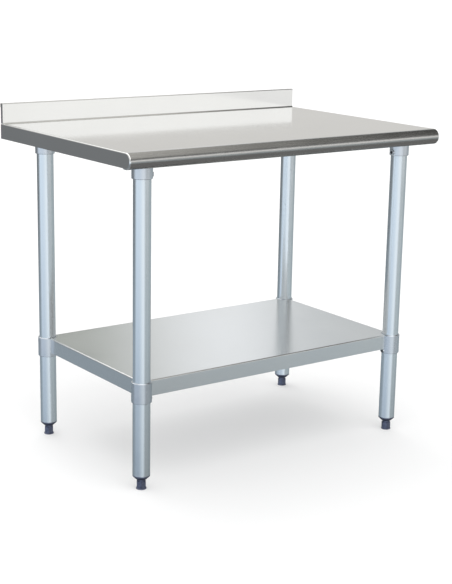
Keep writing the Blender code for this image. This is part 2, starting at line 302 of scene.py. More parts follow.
# --- Worktop sheet ----------------------------------------------------------------------------------
# One 1.2 mm stainless sheet, brake-formed: flat top, rolled front edge, two turned-down sides and a
# low backsplash. Its grain runs along the length, as the mill polished it before forming. Its rolled
# front edge is rougher and carries painted shade, a darker tone that stops short of the folds at both ends.
SHEET = 0.0012
FIT = 0.0003
FOLD = 0.0030
FOLD_STEPS = 5
NOSE_STEPS = 40
NOSE_LIP = 0.010
HEM = 0.010
SPLASH_BEND = 0.0025
SPLASH_ROUND = 0.002
WORN_EDGE = 0.00025
EASE_STEPS = 2
EASE_ANGLE = math.radians(50)
NOISE_SPREAD = (0.3, 0.7)
ROLL_BLEND = 0.003
END_BLEND = 0.001


def shader_group(name, inputs):
    """A shader node group with inputs as (name, kind, default), and its input node's sockets."""
    tree = bpy.data.node_groups.new(name, "ShaderNodeTree")
    for label, kind, default in inputs:
        tree.interface.new_socket(label, in_out="INPUT", socket_type=kind).default_value = default
    return tree, put(tree, "NodeGroupInput").outputs


def close_group(tree, outputs):
    """Give a shader node group its outputs, all numbers, as {name: socket}."""
    for label in outputs:
        tree.interface.new_socket(label, in_out="OUTPUT", socket_type="NodeSocketFloat")
    put(tree, "NodeGroupOutput", outputs)
    return tree


def noise(tree, place, scale, detail):
    return put(tree, "ShaderNodeTexNoise", {"Vector": place, "Scale": scale, "Detail": detail}).outputs["Fac"]


def brushed_grain_group():
    """Fine lines drawn out along one axis, softer cloudy handling marks and a slow waviness."""
    inputs = [
        ("Line Scale", "NodeSocketFloat", 2400.0),
        ("Draw", "NodeSocketVector", (0.012, 1.0, 1.0)),
        ("Cloud Scale", "NodeSocketFloat", 6.0),
    ]
    tree, given = shader_group("brushed_grain", inputs)
    place = put(tree, "ShaderNodeTexCoord").outputs["Object"]
    drawn = put(tree, "ShaderNodeVectorMath", {0: place, 1: given["Draw"]}, operation="MULTIPLY")
    outputs = {
        "Grain": noise(tree, drawn.outputs[0], given["Line Scale"], 3.0),
        "Clouds": noise(tree, place, given["Cloud Scale"], 4.0),
        "Waves": noise(tree, place, 3.0, 1.0),
    }
    return close_group(tree, outputs)


BRUSHED_GRAIN = brushed_grain_group()


def bumped(tree, height, strength, distance, under=None):
    """A bump's normal, over the plain surface or over another bump."""
    inputs = {"Height": height, "Strength": strength, "Distance": distance}
    if under is not None:
        inputs["Normal"] = under
    return put(tree, "ShaderNodeBump", inputs).outputs[0]


def nose_dull_and_shade_mask(tree, front_of, as_far_as):
    """A mask of the rolled front edge, stopping short of its ends: it makes the edge rougher and carries its
    painted shade.
    """
    place = put(tree, "ShaderNodeTexCoord").outputs["Object"]
    x, y, _ = put(tree, "ShaderNodeSeparateXYZ", {0: place}).outputs
    off_centre = put(tree, "ShaderNodeMath", {0: x}, operation="ABSOLUTE").outputs[0]
    in_front = ranged(tree, y, (front_of, front_of - ROLL_BLEND))
    off_end = ranged(tree, off_centre, (as_far_as, as_far_as - END_BLEND))
    return multiply(tree, in_front, off_end)


def stainless(name, tint, dark, roughness, rolled=None):
    """Brushed stainless: a light tone with darker clouds, rougher along the lines, faintly wavy.
    Given rolled = (y, x), the sheet in front of that y, as far as x on both sides, is made rougher
    and painted a darker tone as shade; beyond x the ends keep the plain tone."""
    made = bpy.data.materials.new(name)
    tree = new_tree(made)
    grain = put(tree, "ShaderNodeGroup", node_tree=BRUSHED_GRAIN).outputs
    tone = tone_ramp(tree, [(0.25, dark), (0.75, tint)], grain["Clouds"])
    lined = ranged(tree, grain["Grain"], NOISE_SPREAD, (roughness * 0.85, roughness * 1.2))
    handled = ranged(tree, grain["Clouds"], NOISE_SPREAD, (0.92, 1.12))
    rough = multiply(tree, lined, handled)
    if rolled:
        nose_dull_and_shade = nose_dull_and_shade_mask(tree, *rolled)
        rough = multiply(tree, rough, ranged(tree, nose_dull_and_shade, (0.0, 1.0), (1.0, 3.2)))
        # Painted shade: a darker tone on the rolled front edge, standing in for the dark room it mirrors.
        painted_nose_shade_stops = [(0.25, (0.52, 0.515, 0.50)), (0.75, (0.58, 0.575, 0.56))]
        tone = mix_tones(tree, nose_dull_and_shade, tone, tone_ramp(tree, painted_nose_shade_stops, grain["Clouds"]))
    wavy = bumped(tree, grain["Waves"], 0.10, 0.002)
    surface = bumped(tree, grain["Grain"], 0.05, 0.0003, wavy)
    shade(tree, {"Base Color": tone, "Metallic": 1.0, "Roughness": rough, "Normal": surface})
    return made


def settle(obj):
    """Turn an object and its modifiers into a plain mesh."""
    graph = bpy.context.evaluated_depsgraph_get()
    mesh = bpy.data.meshes.new_from_object(obj.evaluated_get(graph))
    obj.modifiers.clear()
    obj.data = mesh
    return obj


def finish_piece(obj, material, body, nodes=(), sharp=40.0):
    """Shade, paint and hang a finished piece on its body in place of its plain solids."""
    obj.data.materials.clear()
    obj.data.materials.append(material)
    obj.data.shade_smooth()
    obj.data.set_sharp_from_angle(angle=math.radians(sharp))
    level = obj.modifiers.new("level", "WEIGHTED_NORMAL")
    level.weight = 100
    level.keep_sharp = True
    settle(obj)
    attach(obj, body)
    if nodes:
        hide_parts(*nodes)
    return obj


def wall(obj, thickness):
    """Give a surface its sheet's thickness, on its inner side."""
    made = obj.modifiers.new("wall", "SOLIDIFY")
    made.thickness = thickness
    made.offset = -1.0
    made.use_even_offset = True
    return settle(obj)


def ease_edges(obj, width):
    """Round a piece's sharp edges over a little."""
    made = obj.modifiers.new("ease", "BEVEL")
    made.width = width
    made.segments = EASE_STEPS
    made.limit_method = "ANGLE"
    made.angle_limit = EASE_ANGLE
    return settle(obj)


top_low, top_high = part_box("worktop_sheet")
splash_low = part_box("backsplash_end_left")[0]
TOP_Z = splash_low.z - FIT
SPLASH_Y = splash_low.y - FIT - SHEET
APRON_BOTTOM = top_low.z
NOSE_RADIUS = (TOP_Z - APRON_BOTTOM) / 2
# The rolled front edge: rougher, with painted shade in a darker tone.
ROLLED = (top_low.y + NOSE_RADIUS, top_high.x - FOLD)
TOP_STEEL = stainless("worktop_stainless", (0.84, 0.84, 0.825), (0.80, 0.80, 0.785), 0.075, rolled=ROLLED)


def arc(centre, radius, start, end, steps):
    """Points of an arc in (y, z), by angle from +Y."""
    made = []
    for step in range(steps + 1):
        angle = start + (end - start) * step / steps
        made.append((centre[0] + radius * math.cos(angle), centre[1] + radius * math.sin(angle)))
    return made


def top_outline():
    """The side view of the top from its rear end round the nose to its lip, with outward normals."""
    nose_y = top_low.y + NOSE_RADIUS
    nose_z = TOP_Z - NOSE_RADIUS
    points = [(top_high.y, TOP_Z), (SPLASH_Y, TOP_Z)]
    normals = [(0.0, 1.0), (0.0, 1.0)]
    for step in range(NOSE_STEPS + 1):
        angle = math.pi / 2 + math.pi * step / NOSE_STEPS
        normal = (math.cos(angle), math.sin(angle))
        points.append((nose_y + NOSE_RADIUS * normal[0], nose_z + NOSE_RADIUS * normal[1]))
        normals.append(normal)
    points.append((nose_y + NOSE_LIP, APRON_BOTTOM))
    normals.append((0.0, -1.0))
    return points, normals


def strip(bm, first, second):
    """Faces between two rows of vertices."""
    for k in range(len(first) - 1):
        bm.faces.new((first[k], first[k + 1], second[k + 1], second[k]))


def face_towards(bm, direction):
    """Turn a surface so that its largest face looks in the direction."""
    bmesh.ops.recalc_face_normals(bm, faces=bm.faces)
    largest = max(bm.faces, key=lambda face: face.calc_area())
    if largest.normal.dot(Vector(direction)) < 0:
        bmesh.ops.reverse_faces(bm, faces=bm.faces)


def worktop_shell():
    """Top, nose and aprons as one surface; the folds at both ends are quarter rounds."""
    points, normals = top_outline()
    bm = bmesh.new()
    ends = []
    for side in (-1, 1):
        rows = []
        for step in range(FOLD_STEPS + 1):
            angle = math.pi / 2 * step / FOLD_STEPS
            x = side * (top_high.x - FOLD * (1 - math.sin(angle)))
            sink = FOLD * (1 - math.cos(angle))
            row = []
            for (y, z), (normal_y, normal_z) in zip(points, normals):
                row.append(bm.verts.new((x, y - normal_y * sink, z - normal_z * sink)))
            rows.append(row)
        for inner, outer in zip(rows, rows[1:]):
            strip(bm, inner, outer)
        rear_bottom = bm.verts.new((side * top_high.x, top_high.y, APRON_BOTTOM))
        bm.faces.new(rows[-1] + [rear_bottom])
        ends.append(rows[0])
    strip(bm, ends[0][1:], ends[1][1:])
    face_towards(bm, (0.0, 0.0, 1.0))
    return wall(surface_object("worktop_top", bm), SHEET)


def backsplash_shell():
    """The backsplash: a bend up from the top, the wall, the bend rearwards and the short hem."""
    crown = top_high.z
    rear = top_high.y
    half = math.pi / 2
    path = [(rear, crown - HEM)]
    path += arc((rear - SPLASH_ROUND, crown - SPLASH_ROUND), SPLASH_ROUND, 0.0, half, 5)
    path += arc((SPLASH_Y + SPLASH_ROUND, crown - SPLASH_ROUND), SPLASH_ROUND, half, math.pi, 5)
    path += arc((SPLASH_Y - SPLASH_BEND, TOP_Z + SPLASH_BEND), SPLASH_BEND, 0.0, -half, 6)
    bm = bmesh.new()
    rows = [[bm.verts.new((x, y, z)) for y, z in path] for x in (top_low.x, top_high.x)]
    strip(bm, rows[0], rows[1])
    face_towards(bm, (0.0, -1.0, 0.0))
    return wall(surface_object("worktop_backsplash", bm), SHEET)


def joined(name, parts):
    """One mesh object from several finished ones."""
    bm = bmesh.new()
    for part in parts:
        bm.from_mesh(part.data)
        bpy.data.objects.remove(part)
    return surface_object(name, bm)


worktop = joined("worktop", [worktop_shell(), backsplash_shell()])
finish_piece(ease_edges(worktop, WORN_EDGE), TOP_STEEL, "table_frame", ["worktop_sheet"])


# --- Backsplash ends --------------------------------------------------------------------------------
# Two small stainless plates close the ends of the backsplash's rearward return. They are tacked in
# from inside and their edges ground off.
PLATE_CORNER = 0.0012
PLATE_EASE = 0.0002


def block(node):
    """A bmesh box the size of a plain solid."""
    low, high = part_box(node)
    bm = bmesh.new()
    bmesh.ops.create_cube(bm, size=1.0)
    bmesh.ops.scale(bm, vec=high - low, verts=bm.verts)
    bmesh.ops.translate(bm, vec=(low + high) / 2, verts=bm.verts)
    return bm


def plate(name, node):
    bm = block(node)
    across = [edge for edge in bm.edges if abs(edge.verts[0].co.x - edge.verts[1].co.x) > SHEET / 2]
    bmesh.ops.bevel(bm, geom=across, offset=PLATE_CORNER, segments=4, affect="EDGES", profile=0.5)
    return ease_edges(surface_object(name, bm), PLATE_EASE)


for end in ("left", "right"):
    piece = plate(f"splash_end_{end}", f"backsplash_end_{end}")
    finish_piece(piece, TOP_STEEL, "table_frame", [f"backsplash_end_{end}"])


# --- Legs -------------------------------------------------------------------------------------------
# Round steel tube, rolled and seam-welded, then hot-dip galvanised: a bluish zinc skin in faint spangle.
# Both mouths are deburred, and each seam is turned to the middle of the table.
CORNERS = ("front_left", "front_right", "rear_left", "rear_right")
LEG_WALL = 0.0015
LEG_CHAMFER = 0.0004
SEAM_SPAN = (0.036, 0.006)


def zinc_spangle_group():
    """Crystal facets of a zinc skin, with a drifting cloud over them."""
    inputs = [("Spangle Size", "NodeSocketFloat", 90.0), ("Cloud Scale", "NodeSocketFloat", 14.0)]
    tree, given = shader_group("zinc_spangle", inputs)
    place = put(tree, "ShaderNodeTexCoord").outputs["Object"]
    warp = put(tree, "ShaderNodeTexNoise", {"Vector": place, "Scale": 60.0}).outputs["Color"]
    shift = put(tree, "ShaderNodeVectorMath", {0: warp, "Scale": 0.006}, operation="SCALE").outputs[0]
    moved = put(tree, "ShaderNodeVectorMath", {0: place, 1: shift}, operation="ADD").outputs[0]
    cells = put(tree, "ShaderNodeTexVoronoi", {"Vector": moved, "Scale": given["Spangle Size"]})
    facets = put(tree, "ShaderNodeSeparateColor", {0: cells.outputs["Color"]}).outputs["Red"]
    clouds = noise(tree, place, given["Cloud Scale"], 5.0)
    return close_group(tree, {"Facets": facets, "Clouds": clouds})


ZINC_SPANGLE = zinc_spangle_group()


def galvanised(name, light, dark, roughness, spangle=90.0, facet_strength=0.35, relief=0.08, draw=None):
    """Zinc: facets and clouds shift the tone and the roughness. With draw, the surface is a tube's:
    faint mill lines along that axis and the ridge of its seam weld."""
    made = bpy.data.materials.new(name)
    tree = new_tree(made)
    zinc = put(tree, "ShaderNodeGroup", {"Spangle Size": spangle}, node_tree=ZINC_SPANGLE).outputs
    parts = {"Factor": facet_strength, 2: zinc["Clouds"], 3: zinc["Facets"]}
    mixed = put(tree, "ShaderNodeMix", parts, data_type="FLOAT").outputs[0]
    tone = tone_ramp(tree, [(0.25, dark), (0.75, light)], mixed)
    rough = ranged(tree, mixed, (0.0, 1.0), (roughness * 0.8, roughness * 1.25))
    surface = bumped(tree, zinc["Clouds"], relief, 0.0006)
    if draw:
        mill = put(tree, "ShaderNodeGroup", {"Line Scale": 420.0, "Draw": draw}, node_tree=BRUSHED_GRAIN)
        surface = bumped(tree, mill.outputs["Grain"], 0.06, 0.0002, surface)
        around = put(tree, "ShaderNodeAttribute", attribute_name="around").outputs["Fac"]
        surface = bumped(tree, ranged(tree, around, SEAM_SPAN, smooth=True), 0.5, 0.0005, surface)
    shade(tree, {"Base Color": tone, "Metallic": 1.0, "Roughness": rough, "Normal": surface})
    return made


LEG_LOOKS = {"facet_strength": 0.06, "relief": 0.02, "draw": (1.0, 1.0, 0.01)}
LEG_ZINC = galvanised("leg_zinc", (0.80, 0.85, 0.88), (0.755, 0.80, 0.83), 0.24, **LEG_LOOKS)


def lathe(name, profile, place, steps=96, along=None, start=0.0):
    """A closed solid turned about +Z from (radius, height) points, then stood along another axis if asked.
    Its around attribute runs from 0 at the start angle to 1 on the far side."""
    bm = bmesh.new()
    around = bm.verts.layers.float.new("around")
    rings = []
    for radius, height in profile:
        ring = []
        for step in range(steps if radius > 0 else 1):
            angle = start + 2 * math.pi * step / steps
            point = bm.verts.new((radius * math.cos(angle), radius * math.sin(angle), height))
            point[around] = 1 - abs(1 - 2 * step / steps)
            ring.append(point)
        rings.append(ring)
    pairs = list(zip(rings, rings[1:]))
    if profile[0][0] > 0 and profile[-1][0] > 0:
        pairs.append((rings[-1], rings[0]))
    for upper, lower in pairs:
        for step in range(steps):
            following = (step + 1) % steps
            corners = [upper[step % len(upper)], upper[following % len(upper)]]
            corners += [lower[following % len(lower)], lower[step % len(lower)]]
            bm.faces.new(list(dict.fromkeys(corners)))
    if along:
        bm.transform(Vector(along).to_track_quat("Z", "Y").to_matrix().to_4x4())
    bmesh.ops.translate(bm, vec=Vector(place), verts=bm.verts)
    bmesh.ops.recalc_face_normals(bm, faces=bm.faces)
    return surface_object(name, bm)


def tube_profile(outer, inner, bottom, top, chamfer):
    """The section of a tube with both mouths deburred."""
    return [
        (outer - chamfer, top),
        (outer, top - chamfer),
        (outer, bottom + chamfer),
        (outer - chamfer, bottom),
        (inner + chamfer, bottom),
        (inner, bottom + chamfer),
        (inner, top - chamfer),
        (inner + chamfer, top),
    ]


def axis_of(node):
    low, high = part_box(node)
    return ((low.x + high.x) / 2, (low.y + high.y) / 2, 0.0)


leg_low, leg_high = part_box("leg_front_left")
LEG_RADIUS = (leg_high.x - leg_low.x) / 2
LEG_TUBE = tube_profile(LEG_RADIUS, LEG_RADIUS - LEG_WALL, leg_low.z, leg_high.z, LEG_CHAMFER)
for corner in CORNERS:
    place = axis_of(f"leg_{corner}")
    piece = lathe(f"tube_{corner}", LEG_TUBE, place, start=math.atan2(-place[1], -place[0]))
    finish_piece(piece, LEG_ZINC, "table_frame", [f"leg_{corner}"])


# --- Channels under the sheets ----------------------------------------------------------------------
# Roll-formed hat sections in galvanised steel. Their brims are spot-welded to the sheets above them,
# and each weld leaves a small dished ring on the brim's underside.
CHANNEL_ZINC = galvanised("channel_zinc", (0.70, 0.73, 0.74), (0.55, 0.58, 0.60), 0.34, spangle=60.0)
CHANNEL_BRIM = 0.016
CHANNEL_SHEET = 0.0015
BRIM_BEND = 0.0025
CROWN_BEND = 0.0010
BEND_STEPS = 5
CHANNEL_EASE = 0.0002


def rounded_path(points, radii):
    """A path whose inner corners are turned into arcs of the given radii."""
    made = [Vector(points[0])]
    for before, corner, after, radius in zip(points, points[1:], points[2:], radii):
        corner = Vector(corner)
        back = (Vector(before) - corner).normalized()
        ahead = (Vector(after) - corner).normalized()
        centre = corner + (back + ahead) * radius
        for step in range(BEND_STEPS + 1):
            turn = math.pi / 2 * step / BEND_STEPS
            made.append(centre - ahead * radius * math.cos(turn) - back * radius * math.sin(turn))
    return made + [Vector(points[-1])]


def hat_section(name, node, along):
    """Two brims against the sheet above, two webs and the crown, with the rolls' bend radii."""
    low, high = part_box(node)
    across = 1 if along == "x" else 0
    brim = (high[across] - low[across]) / 2
    half = brim - CHANNEL_BRIM
    crown = low.z - high.z + CHANNEL_SHEET
    corners = [(-brim, 0.0), (-half, 0.0), (-half, crown), (half, crown), (half, 0.0), (brim, 0.0)]
    section = rounded_path(corners, (BRIM_BEND, CROWN_BEND, CROWN_BEND, BRIM_BEND))
    middle = (low + high) / 2
    length = (high[1 - across] - low[1 - across]) / 2
    bm = bmesh.new()
    rows = [[bm.verts.new((end, point.x, point.y)) for point in section] for end in (-length, length)]
    strip(bm, rows[1], rows[0])
    if along == "y":
        bmesh.ops.rotate(bm, matrix=Matrix.Rotation(math.pi / 2, 3, "Z"), verts=bm.verts)
    bmesh.ops.translate(bm, vec=(middle.x, middle.y, high.z), verts=bm.verts)
    face_towards(bm, (0.0, 0.0, 1.0))
    return ease_edges(wall(surface_object(name, bm), CHANNEL_SHEET), CHANNEL_EASE)


CHANNELS = (
    ("side_channel_left", "y", "table_frame"),
    ("side_channel_right", "y", "table_frame"),
    ("long_channel", "x", "table_frame"),
    ("shelf_channel", "x", "undershelf"),
)
for node, along, body in CHANNELS:
    piece = hat_section(f"hat_{node}", node, along)
    finish_piece(piece, CHANNEL_ZINC, body, [node])

WELD_BLUE = galvanised("spot_weld_heat", (0.42, 0.44, 0.52), (0.26, 0.27, 0.33), 0.42, spangle=400.0)
WELD_PITCH = 0.060
WELD_RADIUS = 0.0032
WELD_RISE = 0.0004


def new_maker(name, inputs):
    """A Geometry Nodes tree with inputs as {name: kind}, and its input node's sockets."""
    tree = bpy.data.node_groups.new(name, "GeometryNodeTree")
    tree.interface.new_socket("Geometry", in_out="INPUT", socket_type="NodeSocketGeometry")
    tree.interface.new_socket("Geometry", in_out="OUTPUT", socket_type="NodeSocketGeometry")
    for label, kind in inputs.items():
        tree.interface.new_socket(label, in_out="INPUT", socket_type=f"NodeSocket{kind}")
    return tree, put(tree, "NodeGroupInput").outputs


def close_maker(tree, shape, finish):
    """End a tree with its shape made real and painted."""
    real = put(tree, "GeometryNodeRealizeInstances", {0: shape})
    painted = put(tree, "GeometryNodeSetMaterial", {"Geometry": real.outputs[0], "Material": finish})
    put(tree, "NodeGroupOutput", {0: painted.outputs[0]})
    return tree


def swept(tree, path, section_steps, section_radius, **more):
    """A path swept with a round section."""
    section = {"Resolution": section_steps, "Radius": section_radius}
    outline = put(tree, "GeometryNodeCurvePrimitiveCircle", section).outputs[0]
    return put(tree, "GeometryNodeCurveToMesh", {"Curve": path, "Profile Curve": outline, **more}).outputs[0]


def spot_weld_tree():
    """Rows of weld rings: a line of points, each carrying one dished ring."""
    inputs = {
        "Start": "Vector",
        "Step": "Vector",
        "Count": "Int",
        "Ring Radius": "Float",
        "Ring Rise": "Float",
        "Finish": "Material",
    }
    tree, given = new_maker("spot_welds", inputs)
    line = {"Count": given["Count"], "Start Location": given["Start"], "Offset": given["Step"]}
    row = put(tree, "GeometryNodeMeshLine", line, mode="OFFSET").outputs[0]
    path = {"Resolution": 20, "Radius": given["Ring Radius"]}
    circle = put(tree, "GeometryNodeCurvePrimitiveCircle", path).outputs[0]
    ring = swept(tree, circle, 6, given["Ring Rise"])
    smooth = put(tree, "GeometryNodeSetShadeSmooth", {"Geometry": ring}).outputs[0]
    spread = put(tree, "GeometryNodeInstanceOnPoints", {"Points": row, "Instance": smooth})
    return close_maker(tree, spread.outputs[0], given["Finish"])


def run_tree(name, tree, settings):
    """Evaluate a Geometry Nodes tree with the given inputs and keep its result as a plain mesh."""
    made = bpy.data.objects.new(name, bpy.data.meshes.new(name))
    bpy.context.scene.collection.objects.link(made)
    modifier = made.modifiers.new("make", "NODES")
    modifier.node_group = tree
    for item in tree.interface.items_tree:
        if item.in_out == "INPUT" and item.name in settings:
            modifier[item.identifier] = settings[item.name]
    return settle(made)


SPOT_WELDS = spot_weld_tree()


def weld_row(name, node, along, edge, body):
    """One row of spot welds down one brim of a channel."""
    low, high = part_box(node)
    across = "y" if along == "x" else "x"
    length = getattr(high, along) - getattr(low, along)
    count = int(length / WELD_PITCH)
    start = Vector((0.0, 0.0, high.z - CHANNEL_SHEET - WELD_RISE * 0.3))
    setattr(start, along, (getattr(low, along) + getattr(high, along) - WELD_PITCH * (count - 1)) / 2)
    inset = CHANNEL_BRIM / 2
    setattr(start, across, getattr(low, across) + inset if edge < 0 else getattr(high, across) - inset)
    step = Vector((WELD_PITCH, 0.0, 0.0)) if along == "x" else Vector((0.0, WELD_PITCH, 0.0))
    settings = {
        "Start": start,
        "Step": step,
        "Count": count,
        "Ring Radius": WELD_RADIUS,
        "Ring Rise": WELD_RISE,
        "Finish": WELD_BLUE,
    }
    piece = run_tree(name, SPOT_WELDS, settings)
    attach(piece, body)


for edge, edge_name in ((-1, "front"), (1, "rear")):
    weld_row(f"long_channel_welds_{edge_name}", "long_channel", "x", edge, "table_frame")
    weld_row(f"shelf_channel_welds_{edge_name}", "shelf_channel", "x", edge, "undershelf")
for edge, edge_name in ((-1, "outer"), (1, "inner")):
    weld_row(f"left_channel_welds_{edge_name}", "side_channel_left", "y", edge, "table_frame")
    weld_row(f"right_channel_welds_{edge_name}", "side_channel_right", "y", edge, "table_frame")


# --- Leg sockets ------------------------------------------------------------------------------------
# Cast and zinc-plated flanged cups, welded under the side channels. Each has a boss on its inboard
# side, drilled for the set screw that grips the leg.
SOCKET_LOOKS = {"spangle": 160.0, "facet_strength": 0.12, "relief": 0.04}
SOCKET_ZINC = galvanised("socket_zinc", (0.75, 0.78, 0.815), (0.64, 0.67, 0.705), 0.27, **SOCKET_LOOKS)
SOCKET_BORE = LEG_RADIUS + FIT
SOCKET_RADIUS = SOCKET_BORE + 0.0032
SOCKET_FLANGE_THICKNESS = 0.003
SOCKET_FILLET = 0.0022
SOCKET_RIM = 0.0012
SOCKET_BOSS_RADIUS = 0.0072
SCREW_RADIUS = 0.0030
BOSS_PROJECTION = 0.0025
BOSS_RIM = 0.0008
BOSS_ROOT_FLARE = 0.0009


def corner_arc(centre, radius, start, end):
    """Profile points round a corner, by angle in degrees from the radial direction."""
    return arc(centre, radius, math.radians(start), math.radians(end), BEND_STEPS)


def combine(piece, other, operation):
    """Join, cut or trim a piece with another, which is used up."""
    step = piece.modifiers.new("step", "BOOLEAN")
    step.operation = operation
    step.object = other
    settle(piece)
    bpy.data.objects.remove(other)
    return piece


def add_boss(piece, place, inward, radius, wall_radius):
    """Join a drilled screw boss with a rounded rim and a weld-like root to a turned wall."""
    root = (SOCKET_BORE + wall_radius) / 2
    tip = wall_radius + BOSS_PROJECTION
    profile = [
        (0.0, root),
        (radius + BOSS_ROOT_FLARE, root),
        (radius + BOSS_ROOT_FLARE, wall_radius - 0.0008),
        (radius + 0.0003, wall_radius),
        (radius, wall_radius + 0.0008),
    ]
    profile += corner_arc((radius - BOSS_RIM, tip - BOSS_RIM), BOSS_RIM, 0, 90)
    profile += [(0.0, tip)]
    combine(piece, lathe("boss", profile, place, steps=48, along=(inward, 0.0, 0.0)), "UNION")
    hole_radius = SCREW_RADIUS + FIT
    hole = [(0.0, SOCKET_BORE - 0.002), (hole_radius, SOCKET_BORE - 0.002)]
    hole += [(hole_radius, tip - 0.0005), (hole_radius + 0.0010, tip + 0.0005), (0.0, tip + 0.0005)]
    combine(piece, lathe("hole", hole, place, steps=48, along=(inward, 0.0, 0.0)), "DIFFERENCE")


def socket_profile(top, bottom, flange_radius):
    flange_under = top - SOCKET_FLANGE_THICKNESS
    fillet = SOCKET_FILLET
    rim = SOCKET_RIM
    profile = [(0.0, top), (flange_radius - 0.0006, top), (flange_radius, top - 0.0006)]
    profile += corner_arc((flange_radius - rim, flange_under + rim), rim, 0, -90)
    profile += corner_arc((SOCKET_RADIUS + fillet, flange_under - fillet), fillet, 90, 180)
    profile += corner_arc((SOCKET_RADIUS - rim, bottom + rim), rim, 0, -90)
    profile += [
        (SOCKET_BORE + 0.0010, bottom),
        (SOCKET_BORE, bottom + 0.0010),
        (SOCKET_BORE, flange_under),
        (0.0, flange_under),
    ]
    return profile


for corner in CORNERS:
    low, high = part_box(f"leg_socket_{corner}")
    x, y, _ = axis_of(f"leg_{corner}")
    flange_radius = (high.y - low.y) / 2
    screw_low, screw_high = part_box(f"socket_screw_{corner}")
    piece = lathe(f"socket_{corner}", socket_profile(high.z, low.z, flange_radius), (x, y, 0.0))
    middle = (x, y, (screw_low.z + screw_high.z) / 2)
    add_boss(piece, middle, -math.copysign(1, x), SOCKET_BOSS_RADIUS, SOCKET_RADIUS)
    finish_piece(piece, SOCKET_ZINC, "table_frame", [f"leg_socket_{corner}"])


# --- Socket welds -----------------------------------------------------------------------------------
# Two short fillet welds a socket, run by hand where its flange meets the webs of the side channel.
# They are left as run, rippled and blued by the heat.
BEAD_RADIUS = 0.0019
BEAD_HALF_LENGTH = 0.013


def weld_bead_tree():
    """A straight bead with the ripple of a hand-run weld: a line swept with a round section whose
    radius rises and falls along it."""
    inputs = {"Start": "Vector", "End": "Vector", "Bead Radius": "Float", "Seed": "Int", "Finish": "Material"}
    tree, given = new_maker("weld_bead", inputs)
    line = put(tree, "GeometryNodeCurvePrimitiveLine", {"Start": given["Start"], "End": given["End"]})
    path = put(tree, "GeometryNodeResampleCurve", {"Curve": line.outputs[0], "Count": 44}).outputs[0]
    wave = multiply(tree, put(tree, "GeometryNodeInputIndex").outputs[0], 1.45)
    ripple = put(tree, "ShaderNodeMath", {0: wave}, operation="SINE").outputs[0]
    odds = {2: 0.82, 3: 1.06, "Seed": given["Seed"]}
    chance = put(tree, "FunctionNodeRandomValue", odds, data_type="FLOAT")
    swell = put(tree, "ShaderNodeMath", {0: ripple, 1: 0.09, 2: chance.outputs[1]}, operation="MULTIPLY_ADD")
    size = put(tree, "GeometryNodeSetCurveRadius", {"Curve": path, "Radius": swell.outputs[0]}).outputs[0]
    radius = put(tree, "GeometryNodeInputRadius").outputs[0]
    bead = swept(tree, size, 12, given["Bead Radius"], **{"Scale": radius, "Fill Caps": True})
    return close_maker(tree, bead, given["Finish"])


WELD_BEAD = weld_bead_tree()


def beads(name, lines, radius, body):
    """Hang a group of weld beads, given as (start, end) pairs, on a body."""
    parts = []
    for number, (start, end) in enumerate(lines):
        settings = {
            "Start": Vector(start),
            "End": Vector(end),
            "Bead Radius": radius,
            "Seed": number + len(name),
            "Finish": WELD_BLUE,
        }
        parts.append(run_tree(f"bead_{number}", WELD_BEAD, settings))
    finish_piece(joined(name, parts), WELD_BLUE, body, sharp=60.0)


channel_low, channel_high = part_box("side_channel_left")
WEB = (channel_high.x - channel_low.x) / 2 - CHANNEL_BRIM + CHANNEL_SHEET
for corner in CORNERS:
    x, y, _ = axis_of(f"leg_{corner}")
    flange_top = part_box(f"leg_socket_{corner}")[1].z
    lines = []
    for side in (-1, 1):
        at = (x + side * (WEB + BEAD_RADIUS * 0.4), flange_top + BEAD_RADIUS * 0.4)
        lines.append(((at[0], y - BEAD_HALF_LENGTH, at[1]), (at[0], y + BEAD_HALF_LENGTH, at[1])))
    beads(f"socket_welds_{corner}", lines, BEAD_RADIUS, "table_frame")


# --- Undershelf -------------------------------------------------------------------------------------
# A flat pan of the same stainless sheet with four turned-down sides, its grain along the length. The
# corners are punched out round for the sleeves before the sides are folded.
PUNCH_FIT = 0.0002
PUNCH_REACH = 0.01
SHELF_STEEL = stainless("undershelf_stainless", (0.80, 0.81, 0.81), (0.75, 0.76, 0.76), 0.20)


def shelf_pan():
    low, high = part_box("undershelf_sheet")
    bm = block("undershelf_sheet")
    bmesh.ops.delete(bm, geom=[face for face in bm.faces if face.normal.z < -0.5], context="FACES_ONLY")
    folds = [edge for edge in bm.edges if not edge.is_boundary]
    bmesh.ops.bevel(bm, geom=folds, offset=FOLD, segments=FOLD_STEPS, affect="EDGES", profile=0.5)
    pan = wall(surface_object("undershelf_pan", bm), SHEET)
    top = high.z + PUNCH_REACH
    bottom = low.z - PUNCH_REACH
    for corner in CORNERS:
        sleeve_low, sleeve_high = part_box(f"shelf_sleeve_{corner}")
        radius = (sleeve_high.y - sleeve_low.y) / 2 + PUNCH_FIT
        profile = [(0.0, top), (radius, top), (radius, bottom), (0.0, bottom)]
        combine(pan, lathe("punch", profile, axis_of(f"leg_{corner}")), "DIFFERENCE")
    return pan


finish_piece(shelf_pan(), SHELF_STEEL, "undershelf", ["undershelf_sheet"])


# --- Shelf sleeves ----------------------------------------------------------------------------------
# Short plated collars welded into the pan's corners. They slide on the legs, and a set screw in a
# smaller boss on each holds the shelf at its height.
SLEEVE_BOSS_RADIUS = 0.0046
SLEEVE_CHAMFER = 0.0010
for corner in CORNERS:
    low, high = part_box(f"shelf_sleeve_{corner}")
    x, y, _ = axis_of(f"leg_{corner}")
    sleeve_radius = (high.y - low.y) / 2
    screw_low, screw_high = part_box(f"sleeve_screw_{corner}")
    profile = tube_profile(sleeve_radius, SOCKET_BORE, low.z, high.z, SLEEVE_CHAMFER)
    piece = lathe(f"sleeve_{corner}", profile, (x, y, 0.0))
    middle = (x, y, (screw_low.z + screw_high.z) / 2)
    add_boss(piece, middle, -math.copysign(1, x), SLEEVE_BOSS_RADIUS, sleeve_radius)
    finish_piece(piece, SOCKET_ZINC, "undershelf", [f"shelf_sleeve_{corner}"])


